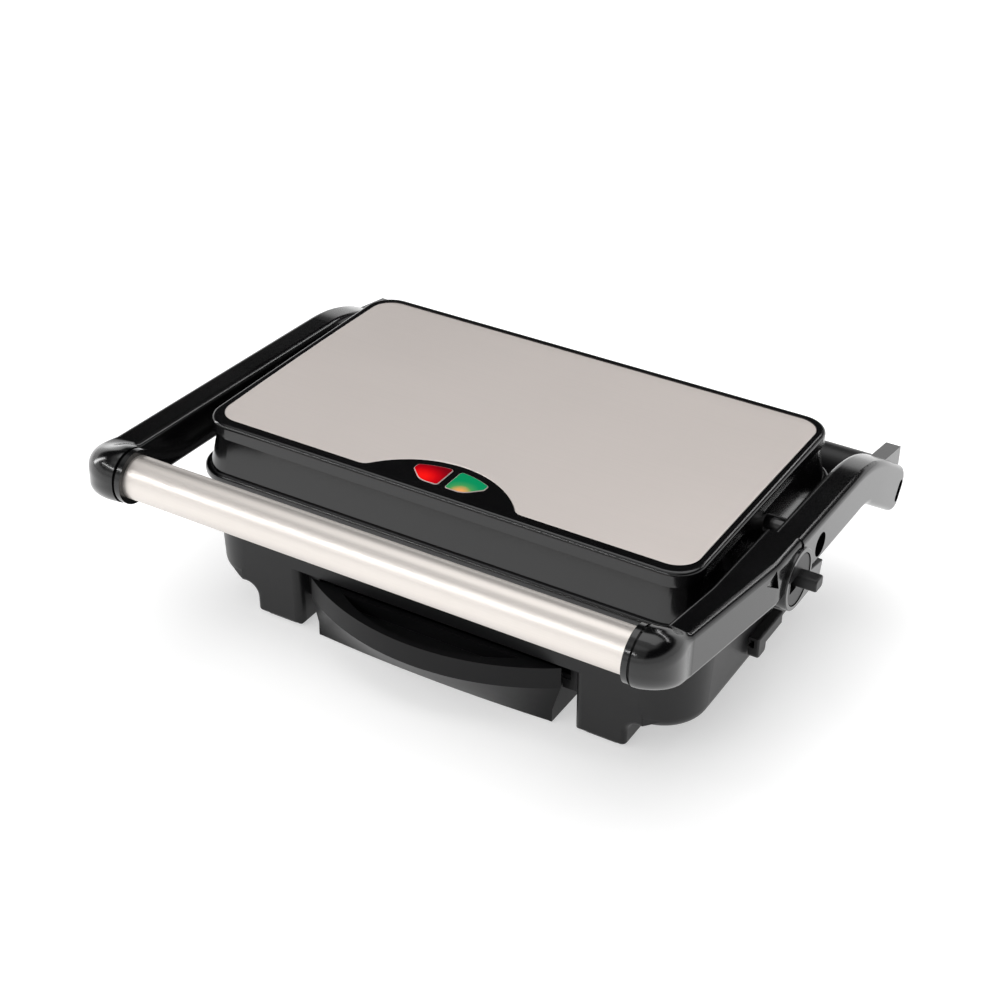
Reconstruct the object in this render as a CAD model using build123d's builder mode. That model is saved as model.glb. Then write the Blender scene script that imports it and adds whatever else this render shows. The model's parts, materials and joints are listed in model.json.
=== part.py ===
"""Panini press: base with a drip tray, side arms with a tube handle, and a tilting lid.

Millimetres. X to the right, Y to the back, Z up, with the table at Z = 0.
The press is closed. X = 0 is midway between the arms.
"""

import os
from math import atan, cos, degrees, pi, radians, sin, tan

from build123d import *

os.makedirs("parts", exist_ok=True)

# Plan of the base and the lid, which stand out around the grill plates
plan_y = 8.4
base_side_border = 4.5
base_end_border = 6.9
base_corner = 22.0
lid_side_border = 2.6
lid_end_border = 8.75
lid_corner = 14.0

# Heights
foot_height = 15.4
base_height = 48.9
lid_gap = 5.5
lid_height = 29.6

# Base shell
base_draft = 2.8
base_wall = 2.8
base_floor = 4.0
base_edge = 7.0
ledge_width = 4.0
ledge_thickness = 3.0

# Legs and pads
leg_spacing = 170.2
leg_width = 25.5
leg_depth = 18.0
leg_flare = 6.0
leg_ramp = 12.0
leg_edge = 1.5
leg_round = 2.5
mouth_round = 4.0
ramp_overlap = 2.0
ramp_inset = 0.1
pad_height = 1.5
pad_inset = 3.0

# Drip tray and the tunnel that it runs in
tunnel_width = 133.0
tunnel_height = 33.5
tunnel_length = 116.0
tunnel_wall = 2.0
rail_width = 4.0
rail_height = 5.0
rail_setback = 8.0
tray_fit = 0.4
tray_wall = 2.0
tray_clear = 1.0
tray_flange = 2.4
tray_lip_height = 31.7
tray_band = 10.8
tray_bulge = 20.5
tray_foot_bulge = 2.2
tray_foot_inset = 5.5
tray_grip_depth = 6.5
tray_grip_wall = 3.0
tray_grip_share = 0.7

# Grill plates
plate_width = 242.0
plate_depth = 134.0
plate_corner = 14.0
plate_thickness = 4.0
plate_fit = 0.6
plate_rim = 3.0
gutter = 6.0
rib_height = 4.0
rib_width = 3.6
rib_crest = 1.8
rib_pitch = 7.6
spout_radius = 4.5
spout_bore = 2.8
spout_fit = 0.6

# Heating elements, clamps and reflectors
element_radius = 3.25
element_side_inset = 41.0
element_end_inset = 29.0
element_bend = 16.0
seat_gap = 0.2
clamp_length = 28.0
clamp_width = 10.0
clamp_thickness = 1.2
clamp_bolts = 20.0
clamp_boss_radius = 3.5
reflector_side_inset = 23.0
reflector_end_inset = 15.0
reflector_thickness = 0.8
reflector_corner = 10.0

# Fasteners: radius of the shank, radius and height of the head
small_shank = 1.4
small_head = 2.8
small_head_height = 1.2
screw_shank = 1.7
screw_head = 3.3
screw_head_height = 2.0
screw_fit = 0.15
thread_depth = 6.0
thread_floor = 1.0

# Screws that hold the lower plate down, through posts in the base
post_radius = 5.0
post_inset = 16.0
post_grip = 12.0

# Electrical parts in the base
cover_width = 38.0
cover_depth = 60.0
cover_thickness = 2.0
cover_side = 32.5
cover_lip = 4.0
cover_end_lip = 8.0
cover_corner = 3.0
cover_fit = 0.2
gland_x = -62.0
gland_z = 40.0
gland_radius = 6.0
gland_bore = 3.6
gland_flange = 8.5
gland_flange_thickness = 2.5
gland_round = 0.8
gland_sleeve = 5.6
gland_sleeve_length = 10.0
gland_relief = 0.5
gland_boss = 10.0
gland_boss_height = 1.2
terminal_length = 34.0
terminal_width = 16.0
terminal_height = 13.0
terminal_ways = 3
terminal_pitch = 10.0
terminal_hole = 1.6
thermostat_radius = 8.0
thermostat_height = 7.0
thermostat_round = 1.2
thermostat_x = 30.0
fuse_radius = 2.0
fuse_length = 14.0

# Rear hinge
hinge_behind = 22.85
hinge_drop = 2.0
barrel_radius = 11.0
barrel_length = 34.0
barrel_fit = 0.4
bracket_drop = 14.0
hinge_pin_radius = 4.0
pin_fit = 0.05
hinge_pin_cover = 4.0

# Arms
arm_gap = 9.8
arm_width = 14.7
arm_top_rise = 27.6
arm_bottom_rise = 5.3
arm_top_fall = 1.8
arm_bottom_fall = 1.4
arm_round = 3.0
arm_top_bend = 92.0
arm_bottom_bend = 25.0
finger_angle = 32.5
finger_above = 9.9
finger_below = 12.6
finger_end = 17.0
finger_top_round = 9.0
finger_bottom_round = 6.5
slot_along = 11.5
slot_across = -2.0
slot_length = 11.0
slot_width = 5.0
slot_depth = 2.0
lug_width = 7.3
lug_inset = 2.5
lug_back = 10.3
lug_height = 15.0
lug_fall = 9.0
lug_front = 8.0

# Joint of the right arm, with the round head that carries the knob
head_y = -12.2
head_rise = 7.7
head_radius = 14.2
head_out = 1.0
lobe_back = 13.0
lobe_rise = 9.0
lobe_lean = 2.2
head_edge = 0.6
seam_y = -8.0
seam_gap = 0.1
front_arm_inset = 0.7
front_step = 3.9
front_lean_in = 3.1
front_lean_out = 7.9
front_bend_in = 54.0
front_bend_out = 22.0
front_bend_round = 60.0
mark_front = 33.7
mark_back = 22.9
mark_tip = 26.1
mark_top = 16.0
mark_middle = 12.2
mark_bottom = 5.5
mark_depth = 2.0
dowel_radius = 2.0
dowel_length = 32.0
dowel_rise = 8.6
dowel_drop = 1.6
dowel_setback = 6.0

# Knob on the right arm
knob_radius = 11.6
knob_thickness = 6.0
knob_fit = 0.5
knob_shaft = 3.0
knob_wing_front = 2.4
knob_wing_back = 5.4
knob_wing_width = 6.0
knob_wing_round = 1.75
knob_wing_height = 9.0
knob_edge = 0.8
knob_recess = 6.4
knob_pocket = 5.0
knob_pocket_length = 6.5
knob_screw_recess = 3.6
knob_washer_radius = 4.5
knob_washer_thickness = 0.5

# Handle
handle_ahead = 46.5
tube_rise = 22.6
tube_radius = 10.0
tube_wall = 1.2
collar_radius = 12.5
collar_length = 2.6
collar_groove_radius = 11.2
collar_groove = 1.2
cap_run = 7.4
cap_back = 17.0
cap_flat = 1.0
left_cap_bulge = 3.0
right_cap_bulge = -1.5
cap_sections = 6
spigot_length = 14.0
spigot_fit = 0.1
rod_radius = 3.0
rod_depth = 10.0
tenon_width = 8.0
tenon_height = 12.0
tenon_length = 9.0

# Lid shell
lid_wall = 2.4
lid_skin = 4.0
lip_height = 6.0
neck_height = 2.4
neck_inset = 2.0
skirt_flare = 1.5
flange_out = 4.3
flange_height = 5.5
flange_round = 2.2
lip_round = 1.8
lid_screw_side = 23.6
lid_screw_inset = 3.6
lid_post_radius = 3.5
lid_thread = 12.0
ear_x = 70.0
ear_width = 14.0
ear_foot = 4.0
ear_reach = 11.0
ear_thickness = 3.0

# Tilt pivot of the lid
pivot_y = 12.0
pivot_rise = 11.7
pivot_boss = 6.4
pivot_gap = 0.5
pivot_pin_radius = 3.5
pivot_pin_seat = 10.0
bush_radius = 5.6
bush_length = 6.5

# Steel panel with its arched cut-out, and the indicator lenses
panel_side_bezel = 4.0
panel_front_bezel = 6.2
panel_back_bezel = 4.0
panel_corner = 11.0
panel_edge = 0.4
panel_thickness = 0.9
panel_sink = 1.2
panel_crown = 0.8
panel_fit = 0.15
arch_radius = 45.8
arch_drop = 25.3
arch_flare = 6.0
lens_gap = 3.4
lens_half_width = 18.0
lens_border = 4.0
lens_front = 1.6
lens_heel = 7.0
lens_slope = 7.0
lens_round = 1.6
lens_heel_round = 8.0
lens_fit = 0.1
lens_flange = 1.2
lens_flange_thickness = 1.2
lens_proud = 0.25

# Lamps under the lenses
holder_width = 56.0
holder_depth = 12.0
holder_thickness = 1.6
holder_ear = 6.0
holder_peg_radius = 1.5
lamp_radius = 2.1
lamp_length = 13.0
holder_drop = 7.4

# Storage latch on the right wall of the base
latch_length = 26.5
latch_y = 8.25
latch_top = 34.6
latch_bar = 6.5
latch_finger = 4.3
latch_front_finger = 9.0
latch_thickness = 5.0
latch_fit = 0.3
latch_edge = 1.0
latch_round = 2.4
latch_rail_length = 20.0
latch_neck = 2.0
latch_head = 3.4
latch_head_thickness = 1.2
latch_neck_length = 1.2

# Levels
base_z = foot_height
rim_z = base_z + base_height
lid_z = rim_z + lid_gap
top_z = lid_z + lid_height
lower_back_z = rim_z - rib_height - plate_thickness
upper_back_z = lid_z + rib_height + plate_thickness
frame_top_z = lid_z + flange_height
lip_z = top_z - lip_height
neck_z = lip_z - neck_height
ceiling_z = top_z - lid_skin
boss_height = 2 * element_radius + seat_gap
hinge_z = rim_z - hinge_drop
arm_front_top = lid_z + arm_top_rise
arm_front_bottom = lid_z + arm_bottom_rise
head_z = lid_z + head_rise
tube_z = lid_z + tube_rise
pivot_z = lid_z + pivot_rise

# Sizes in plan that follow from the plates
base_width = plate_width + 2 * base_side_border
base_depth = plate_depth + 2 * base_end_border
lid_width = plate_width + 2 * lid_side_border
lid_depth = plate_depth + 2 * lid_end_border
panel_width = lid_width - 2 * panel_side_bezel
panel_depth = lid_depth - panel_front_bezel - panel_back_bezel
element_span = plate_width - 2 * element_side_inset
element_length = plate_depth - 2 * element_end_inset
reflector_width = plate_width - 2 * reflector_side_inset
reflector_depth = plate_depth - 2 * reflector_end_inset
lid_screw_x = lid_width / 2 - lid_screw_side

# Plan positions
base_front = plan_y - base_depth / 2
base_back = plan_y + base_depth / 2
lid_front = plan_y - lid_depth / 2
lid_back = plan_y + lid_depth / 2
hinge_y = lid_back + hinge_behind
handle_y = lid_front - handle_ahead
cap_seam_y = handle_y + cap_back
arm_in = lid_width / 2 + arm_gap
arm_out = arm_in + arm_width
arm_mid = (arm_in + arm_out) / 2
boss_face = arm_in - pivot_gap
cap_in = arm_in - cap_run
tube_length = 2 * (cap_in - collar_groove - collar_length)
panel_back = lid_back - panel_back_bezel
panel_front = panel_back - panel_depth
arch_y = panel_front - arch_drop
widening = tan(radians(base_draft))
tunnel_back = base_front + tunnel_length
mouth_width = leg_spacing - leg_width
mouth_back = base_front + rail_setback
cover_x = cover_side - base_width / 2

# Places of repeated pieces
corners = [(-1, -1), (1, -1), (-1, 1), (1, 1)]
plate_posts = [
    (i * (plate_width / 2 - post_inset), plan_y + j * (plate_depth / 2 - post_inset)) for i, j in corners
]
element_front = plan_y - element_length / 2
clamp_centres = [(-element_span / 2, plan_y), (element_span / 2, plan_y), (0, element_front)]
clamp_turns = [0, 0, 90]
clamp_screw_places = [
    (x + i * clamp_bolts / 2 * cos(radians(turn)), y + i * clamp_bolts / 2 * sin(radians(turn)))
    for (x, y), turn in zip(clamp_centres, clamp_turns)
    for i in (-1, 1)
]
lid_screw_places = [
    (i * lid_screw_x, plan_y + j * (plate_depth / 2 + plate_fit + lid_screw_inset)) for i, j in corners
]
ear_places = [(i * ear_x, j) for i, j in corners]
opening_half = plate_depth / 2 + plate_fit
ear_screw_places = [(x, plan_y + j * (opening_half - ear_reach / 2)) for x, j in ear_places]
spout_y = plan_y - plate_depth / 2 + plate_rim + gutter / 2

upward = (Align.CENTER, Align.CENTER, Align.MIN)
downward = (Align.CENTER, Align.CENTER, Align.MAX)


def keep(piece, name):
    """Label a finished piece and write it."""
    piece.part.label = name
    export_step(piece.part, f"parts/{name}.step")


def level(z):
    return Plane.XY.offset(z)


def front_plane(y):
    """Upright plane facing the front: drawn in X and Z, extruded forwards by a positive amount."""
    return Plane.XZ.offset(-y)


def side_plane(x):
    """Upright plane facing right: drawn in Y and Z, extruded to the right by a positive amount."""
    return Plane.YZ.offset(x)


def plan_shape(width, depth, corner, mode=Mode.ADD):
    """Rounded rectangle about the centre of the base and the lid."""
    with Locations((0, plan_y)):
        RectangleRounded(width, depth, corner, mode=mode)


def meet(point, angle, other, other_angle):
    """Where two sloping lines cross, each given by a point and an angle in degrees."""
    slope = tan(radians(angle))
    other_slope = tan(radians(other_angle))
    y = (other[1] - point[1] + slope * point[0] - other_slope * other[0]) / (slope - other_slope)
    return (y, point[1] + slope * (y - point[0]))


def upright_screws(places, seat_z, direction, shank, length, head, head_height):
    """Group of screws: heads on one side of the seat, shanks on the side of direction."""
    with BuildPart() as group:
        for x, y in places:
            with Locations((x, y, seat_z)):
                Cylinder(head, head_height, align=downward if direction > 0 else upward)
                Cylinder(shank, length, align=upward if direction > 0 else downward)
    return group


# Base housing: the hollow inside it, less the tunnel, the posts and the floor above the legs
with BuildPart() as base_hollow:
    with BuildSketch(level(base_z + base_floor)):
        plan_shape(base_width - 2 * base_wall, base_depth - 2 * base_wall, base_corner - base_wall)
    extrude(amount=lower_back_z - ledge_thickness - base_z - base_floor, taper=-base_draft)
    fillet(base_hollow.faces().sort_by(Axis.Z)[0].edges(), base_edge - base_wall)
    with Locations((0, tunnel_back + tunnel_wall, 0)):
        Box(
            tunnel_width + 2 * tunnel_wall,
            tunnel_length + base_wall,
            tunnel_height + tunnel_wall,
            align=(Align.CENTER, Align.MAX, Align.MIN),
            mode=Mode.SUBTRACT,
        )
    with Locations((0, mouth_back + tunnel_wall, 0)):
        Box(
            mouth_width + 2 * tunnel_wall,
            rail_setback + 2 * tunnel_wall,
            tunnel_height + tunnel_wall,
            align=(Align.CENTER, Align.MAX, Align.MIN),
            mode=Mode.SUBTRACT,
        )
    for x, y in plate_posts:
        with Locations((x, y, base_z)):
            Cylinder(post_radius, lower_back_z - boss_height - base_z, align=upward, mode=Mode.SUBTRACT)

# Legs in the slope of the walls, with a flare on their outer sides that runs into the underside
slope = radians(base_draft)
wall_rise = (0, -sin(slope), cos(slope))
wall_plane = Plane((0, base_front, base_z), (1, 0, 0), (0, -cos(slope), -sin(slope)))
leg_drop = (base_z - pad_height) / cos(slope)
leg_out = (leg_spacing + leg_width) / 2
ramp_end = base_width / 2 - base_corner + ramp_overlap
taken_in = base_z * widening + ramp_inset
with BuildPart() as outside_corner:
    with Locations((ramp_end, base_front - base_wall, 0)):
        Box(base_corner, base_corner, base_z + base_height, align=(Align.MIN, Align.MIN, Align.MIN))
    with BuildSketch(level(0)):
        plan_shape(base_width - 2 * taken_in, base_depth - 2 * taken_in, base_corner - taken_in)
    extrude(amount=base_z + base_height, taper=-base_draft, mode=Mode.SUBTRACT)
with BuildPart() as legs:
    with BuildSketch(wall_plane):
        with Locations((leg_spacing / 2, base_edge)):
            Rectangle(leg_width, base_edge + leg_drop, align=(Align.CENTER, Align.MAX))
        Polygon(
            (leg_out, base_edge),
            (leg_out, -leg_flare),
            (leg_out + leg_flare, -leg_flare),
            (leg_out + leg_flare, 0),
            (leg_out + leg_flare + leg_ramp, base_edge),
            align=None,
        )
        with Locations((leg_out + leg_flare, -leg_flare)):
            Circle(leg_flare, mode=Mode.SUBTRACT)
    extrude(amount=leg_depth, dir=(0, 1, 0))
    front_edges = legs.faces().sort_by(Axis.Y)[0].edges().filter_by(lambda edge: edge.center().Z < base_z)
    fillet(front_edges.filter_by(lambda edge: edge.center().X > leg_out - leg_edge), leg_round)
    fillet(legs.faces().sort_by(Axis.Z)[0].edges(), leg_edge)
    add(outside_corner.part, mode=Mode.SUBTRACT)
    mirror(about=Plane.YZ)
    mirror(about=front_plane(plan_y))

bracket_root = base_back - base_wall / 2
barrel_out = arm_in - barrel_fit
post_top = lower_back_z - boss_height
latch_in = base_width / 2 + (latch_top - base_z) * widening + latch_fit
latch_rail_z = latch_top - latch_bar / 2

with BuildPart() as base_housing:
    with BuildSketch(level(base_z)):
        plan_shape(base_width, base_depth, base_corner)
    extrude(amount=base_height, taper=-base_draft)
    fillet(base_housing.faces().sort_by(Axis.Z)[0].edges(), base_edge)
    add(legs.part)
    # Hinge barrels on brackets at the back
    for i in (-1, 1):
        with BuildSketch(side_plane(i * barrel_out)):
            with Locations((hinge_y, hinge_z)):
                Circle(barrel_radius)
            Polygon(
                (bracket_root, hinge_z),
                (hinge_y, hinge_z),
                (hinge_y, hinge_z - barrel_radius),
                (bracket_root, hinge_z - bracket_drop),
                align=None,
            )
        extrude(amount=-i * barrel_length)
    # Flat seat for the cord's gland
    with BuildSketch(front_plane(bracket_root)):
        with Locations((gland_x, gland_z)):
            Circle(gland_boss)
    extrude(amount=-(base_height * widening + base_wall / 2 + gland_boss_height))
    # Guide rail for the storage latch
    with Locations((base_width / 2 - base_wall / 2, latch_y, latch_rail_z)):
        Box(
            latch_in - base_width / 2 + base_wall / 2 + latch_neck_length,
            latch_rail_length,
            latch_neck,
            align=(Align.MIN, Align.CENTER, Align.CENTER),
        )
    with Locations((latch_in + latch_neck_length, latch_y, latch_rail_z)):
        Box(
            latch_head_thickness,
            latch_rail_length,
            latch_head,
            align=(Align.MIN, Align.CENTER, Align.CENTER),
        )
    add(base_hollow.part, mode=Mode.SUBTRACT)
    # Opening over the ledge, and the pocket that the plate lies in
    with BuildSketch(level(lower_back_z - ledge_thickness)):
        plan_shape(plate_width - 2 * ledge_width, plate_depth - 2 * ledge_width, plate_corner - ledge_width)
    extrude(amount=ledge_thickness, mode=Mode.SUBTRACT)
    with BuildSketch(level(lower_back_z)):
        plan_shape(plate_width + 2 * plate_fit, plate_depth + 2 * plate_fit, plate_corner + plate_fit)
    extrude(amount=base_height, mode=Mode.SUBTRACT)
    # Tray tunnel with a wider mouth that follows the wall, its rails and the hole for the spout
    foot_line = base_front + base_z * widening
    with BuildSketch(level(0)):
        with Locations((0, foot_line - base_wall)):
            Rectangle(mouth_width, rail_setback + base_wall, align=(Align.CENTER, Align.MIN))
        for i in (-1, 1):
            with Locations((i * (mouth_width + mouth_round) / 2, foot_line + mouth_round / 2)):
                Rectangle(mouth_round, mouth_round)
            with Locations((i * (mouth_width / 2 + mouth_round), foot_line + mouth_round)):
                Circle(mouth_round, mode=Mode.SUBTRACT)
    extrude(amount=tunnel_height / cos(slope), dir=wall_rise, mode=Mode.SUBTRACT)
    with Locations((0, tunnel_back, 0)):
        Box(
            tunnel_width,
            tunnel_length + base_wall,
            tunnel_height,
            align=(Align.CENTER, Align.MAX, Align.MIN),
            mode=Mode.SUBTRACT,
        )
    for i in (-1, 1):
        with Locations((i * (tunnel_width - rail_width) / 2, tunnel_back, base_z)):
            Box(
                rail_width,
                tunnel_length - rail_setback,
                rail_height,
                align=(Align.CENTER, Align.MAX, Align.MIN),
            )
    with Locations((0, spout_y, tunnel_height)):
        Cylinder(spout_radius + spout_fit, base_height, align=upward, mode=Mode.SUBTRACT)
    # Holes for the plate's screws, from below
    for x, y in plate_posts:
        with Locations((x, y, post_top)):
            Cylinder(screw_shank + screw_fit, post_grip, align=downward, mode=Mode.SUBTRACT)
        with Locations((x, y, post_top - post_grip)):
            Cylinder(screw_head + screw_fit, base_height, align=downward, mode=Mode.SUBTRACT)
    # Service opening in the floor, with a recess and screw holes for its cover
    with BuildSketch(level(base_z)):
        with Locations((cover_x, plan_y)):
            RectangleRounded(cover_width + 2 * cover_fit, cover_depth + 2 * cover_fit, cover_corner)
    extrude(amount=cover_thickness, mode=Mode.SUBTRACT)
    with Locations((cover_x, plan_y, base_z)):
        Box(
            cover_width - 2 * cover_lip,
            cover_depth - 2 * cover_end_lip,
            base_floor,
            align=upward,
            mode=Mode.SUBTRACT,
        )
    for j in (-1, 1):
        with Locations((cover_x, plan_y + j * (cover_depth - cover_end_lip) / 2, base_z)):
            Cylinder(small_shank + screw_fit, base_floor, align=upward, mode=Mode.SUBTRACT)
    # Bores of the hinge barrels and of the gland
    for i in (-1, 1):
        with BuildSketch(side_plane(i * barrel_out)):
            with Locations((hinge_y, hinge_z)):
                Circle(hinge_pin_radius + pin_fit)
        extrude(amount=-i * barrel_length, mode=Mode.SUBTRACT)
    with BuildSketch(front_plane(base_back - 2 * base_wall)):
        with Locations((gland_x, gland_z)):
            Circle(gland_radius + pin_fit)
    extrude(amount=-gland_boss - base_height * widening - 2 * base_wall, mode=Mode.SUBTRACT)
keep(base_housing, "base_housing")

with BuildPart() as foot_pads:
    for y in (base_front + leg_depth / 2, base_back - leg_depth / 2):
        for i in (-1, 1):
            with BuildSketch(level(0)):
                with Locations((i * leg_spacing / 2, y)):
                    RectangleRounded(leg_width - 2 * pad_inset, leg_depth - 2 * pad_inset, pad_inset)
            extrude(amount=pad_height)
keep(foot_pads, "foot_pads")

with BuildPart() as base_bottom_cover:
    with BuildSketch(level(base_z)):
        with Locations((cover_x, plan_y)):
            RectangleRounded(cover_width, cover_depth, cover_corner - cover_fit)
    extrude(amount=cover_thickness)
    for j in (-1, 1):
        with Locations((cover_x, plan_y + j * (cover_depth - cover_end_lip) / 2, base_z)):
            Cylinder(small_shank + screw_fit, cover_thickness, align=upward, mode=Mode.SUBTRACT)
            Cylinder(small_head + screw_fit, small_head_height, align=upward, mode=Mode.SUBTRACT)
keep(base_bottom_cover, "base_bottom_cover")

cover_screw_places = [(cover_x, plan_y + j * (cover_depth - cover_end_lip) / 2) for j in (-1, 1)]
cover_screws = upright_screws(
    cover_screw_places,
    base_z + small_head_height,
    1,
    small_shank,
    base_floor - small_head_height,
    small_head,
    small_head_height,
)
keep(cover_screws, "cover_screws")

gland_seat = bracket_root + base_height * widening + base_wall / 2 + gland_boss_height
gland_back = gland_seat + gland_flange_thickness + gland_sleeve_length
relief_end = gland_seat + gland_relief
with BuildPart() as cord_gland:
    for start, end, radius in (
        (base_back - base_wall, gland_seat, gland_radius),
        (gland_seat, gland_seat + gland_flange_thickness, gland_flange),
        (gland_seat, gland_back, gland_sleeve),
    ):
        with BuildSketch(front_plane(start)):
            with Locations((gland_x, gland_z)):
                Circle(radius)
        extrude(amount=start - end)
    fillet(cord_gland.edges().group_by(Axis.Y)[-1], gland_round)
    for start, end, radius in (
        (base_back - base_wall, relief_end, gland_bore + gland_relief),
        (relief_end, gland_back, gland_bore),
    ):
        with BuildSketch(front_plane(start)):
            with Locations((gland_x, gland_z)):
                Circle(radius)
        extrude(amount=start - end, mode=Mode.SUBTRACT)
keep(cord_gland, "cord_gland")

with BuildPart() as terminal_block:
    with Locations((-cover_x, plan_y, base_z + base_floor)):
        Box(terminal_width, terminal_length, terminal_height, align=upward)
    with Locations((-cover_x, plan_y, base_z + base_floor + terminal_height / 2)):
        with GridLocations(terminal_width, terminal_pitch, 1, terminal_ways):
            Cylinder(terminal_hole, terminal_width, rotation=(0, 90, 0), mode=Mode.SUBTRACT)
            Cylinder(terminal_hole, terminal_height, align=upward, mode=Mode.SUBTRACT)
keep(terminal_block, "terminal_block")


# Grill plates, with the cooking face towards facing (1 is up, -1 is down)
def grill_plate(back_z, facing):
    rib_length = plate_depth - 2 * (plate_rim + gutter)
    rib_count = int((plate_width - 2 * (plate_rim + gutter) - rib_width) / rib_pitch) + 1
    face_z = back_z + facing * plate_thickness
    crest_z = face_z + facing * rib_height
    with BuildPart() as plate:
        with BuildSketch(level(back_z)):
            plan_shape(plate_width, plate_depth, plate_corner)
        extrude(amount=facing * plate_thickness)
        with BuildSketch(level(face_z)):
            plan_shape(plate_width, plate_depth, plate_corner)
            plan_shape(
                plate_width - 2 * plate_rim,
                plate_depth - 2 * plate_rim,
                plate_corner - plate_rim,
                mode=Mode.SUBTRACT,
            )
        extrude(amount=facing * rib_height)
        with BuildSketch(front_plane(plan_y - rib_length / 2)):
            with GridLocations(rib_pitch, rib_pitch, rib_count, 1):
                Polygon(
                    (-rib_width / 2, face_z),
                    (rib_width / 2, face_z),
                    (rib_crest / 2, crest_z),
                    (-rib_crest / 2, crest_z),
                    align=None,
                )
        extrude(amount=-rib_length)
        # Bosses for the element's clamps, with blind threads
        for x, y in clamp_screw_places:
            with Locations((x, y, back_z)):
                Cylinder(clamp_boss_radius, boss_height, align=downward if facing > 0 else upward)
            with Locations((x, y, back_z - facing * boss_height)):
                Cylinder(
                    small_shank + screw_fit,
                    thread_depth,
                    align=upward if facing > 0 else downward,
                    mode=Mode.SUBTRACT,
                )
    return plate


plate_screw_length = post_grip + thread_depth
lower_plate_body = grill_plate(lower_back_z, 1)
with BuildPart() as lower_grill_plate:
    add(lower_plate_body.part)
    for x, y in plate_posts:
        with Locations((x, y, post_top)):
            Cylinder(post_radius, boss_height, align=upward)
            Cylinder(screw_shank + screw_fit, thread_depth + seat_gap, align=upward, mode=Mode.SUBTRACT)
    # Drain in the front gutter, with a spout down to the tray
    with Locations((0, spout_y, tunnel_height)):
        Cylinder(spout_radius, lower_back_z - tunnel_height, align=upward)
        Cylinder(spout_bore, base_height, align=upward, mode=Mode.SUBTRACT)
keep(lower_grill_plate, "lower_grill_plate")

lower_plate_screws = upright_screws(
    plate_posts, post_top - post_grip, 1, screw_shank, plate_screw_length, screw_head, screw_head_height
)
keep(lower_plate_screws, "lower_plate_screws")

upper_plate_body = grill_plate(upper_back_z, -1)
with BuildPart() as upper_grill_plate:
    add(upper_plate_body.part)
    for x, y in ear_screw_places:
        with Locations((x, y, upper_back_z)):
            Cylinder(
                screw_shank + screw_fit,
                plate_thickness - thread_floor,
                align=downward,
                mode=Mode.SUBTRACT,
            )
keep(upper_grill_plate, "upper_grill_plate")


def heating_element(back_z, facing):
    """Tubular element, bent to a U, lying against the back of its plate."""
    z = back_z - facing * (seat_gap + element_radius)
    half = element_span / 2
    back = element_front + element_length
    with BuildPart() as element:
        with BuildLine() as route:
            FilletPolyline(
                (-half, back, z),
                (-half, element_front, z),
                (half, element_front, z),
                (half, back, z),
                radius=element_bend,
            )
        with BuildSketch(Plane(origin=(-half, back, z), z_dir=(0, -1, 0))):
            Circle(element_radius)
        sweep(path=route.wires()[0])
    return element


def element_clamps(back_z, facing):
    """Straps across the element, on the bosses of the plate."""
    z = back_z - facing * boss_height
    side = downward if facing > 0 else upward
    with BuildPart() as clamps:
        for (x, y), turn in zip(clamp_centres, clamp_turns):
            with Locations(Location((x, y, z), (0, 0, turn))):
                Box(clamp_length, clamp_width, clamp_thickness, align=side)
        for x, y in clamp_screw_places:
            with Locations((x, y, z)):
                Cylinder(small_shank + screw_fit, clamp_thickness, align=side, mode=Mode.SUBTRACT)
    return clamps


def reflector(back_z, facing):
    """Sheet behind the element, held by the screws of the clamps."""
    z = back_z - facing * (boss_height + clamp_thickness)
    side = downward if facing > 0 else upward
    with BuildPart() as sheet:
        with BuildSketch(level(z)):
            plan_shape(reflector_width, reflector_depth, reflector_corner)
        extrude(amount=-facing * reflector_thickness)
        for x, y in clamp_screw_places:
            with Locations((x, y, z)):
                Cylinder(small_shank + screw_fit, reflector_thickness, align=side, mode=Mode.SUBTRACT)
    return sheet


def clamp_screws(back_z, facing):
    stack = clamp_thickness + reflector_thickness
    return upright_screws(
        clamp_screw_places,
        back_z - facing * (boss_height + stack),
        facing,
        small_shank,
        stack + thread_depth - seat_gap,
        small_head,
        small_head_height,
    )


for level_name, back_z, facing in (("lower", lower_back_z, 1), ("upper", upper_back_z, -1)):
    keep(heating_element(back_z, facing), f"{level_name}_heating_element")
    keep(element_clamps(back_z, facing), f"{level_name}_element_clamps")
    keep(reflector(back_z, facing), f"{level_name}_reflector")
    keep(clamp_screws(back_z, facing), f"{level_name}_clamp_screws")

with BuildPart() as thermostat:
    with Locations((thermostat_x, plan_y, lower_back_z)):
        Cylinder(thermostat_radius, thermostat_height, align=downward)
    fillet(thermostat.edges().group_by(Axis.Z)[0], thermostat_round)
keep(thermostat, "thermostat")

with BuildPart() as thermal_fuse:
    with Locations((-thermostat_x, plan_y, lower_back_z - seat_gap - fuse_radius)):
        Cylinder(fuse_radius, fuse_length, rotation=(0, 90, 0))
keep(thermal_fuse, "thermal_fuse")

# Drip tray: the pan, its side flanges and the bulging front lip
tray_half = tunnel_width / 2 - rail_width - tray_fit
lip_half = tunnel_width / 2 - 2 * tray_fit
flange_half = tunnel_width / 2 - tray_fit
flange_z = base_z + rail_height + tray_fit
tray_back = tunnel_back - 2 * tray_fit
tray_top = flange_z + tray_flange
lip_y = base_front
grip_half = tray_grip_share * lip_half
band_z = tray_lip_height - tray_band


def lip_shape(half, bulge):
    """Flat at the back, with a round front."""
    with BuildLine() as outline:
        ThreePointArc((-half, lip_y), (0, lip_y - bulge), (half, lip_y))
        Line((half, lip_y), (-half, lip_y))
    make_face(outline.edges())


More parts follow.
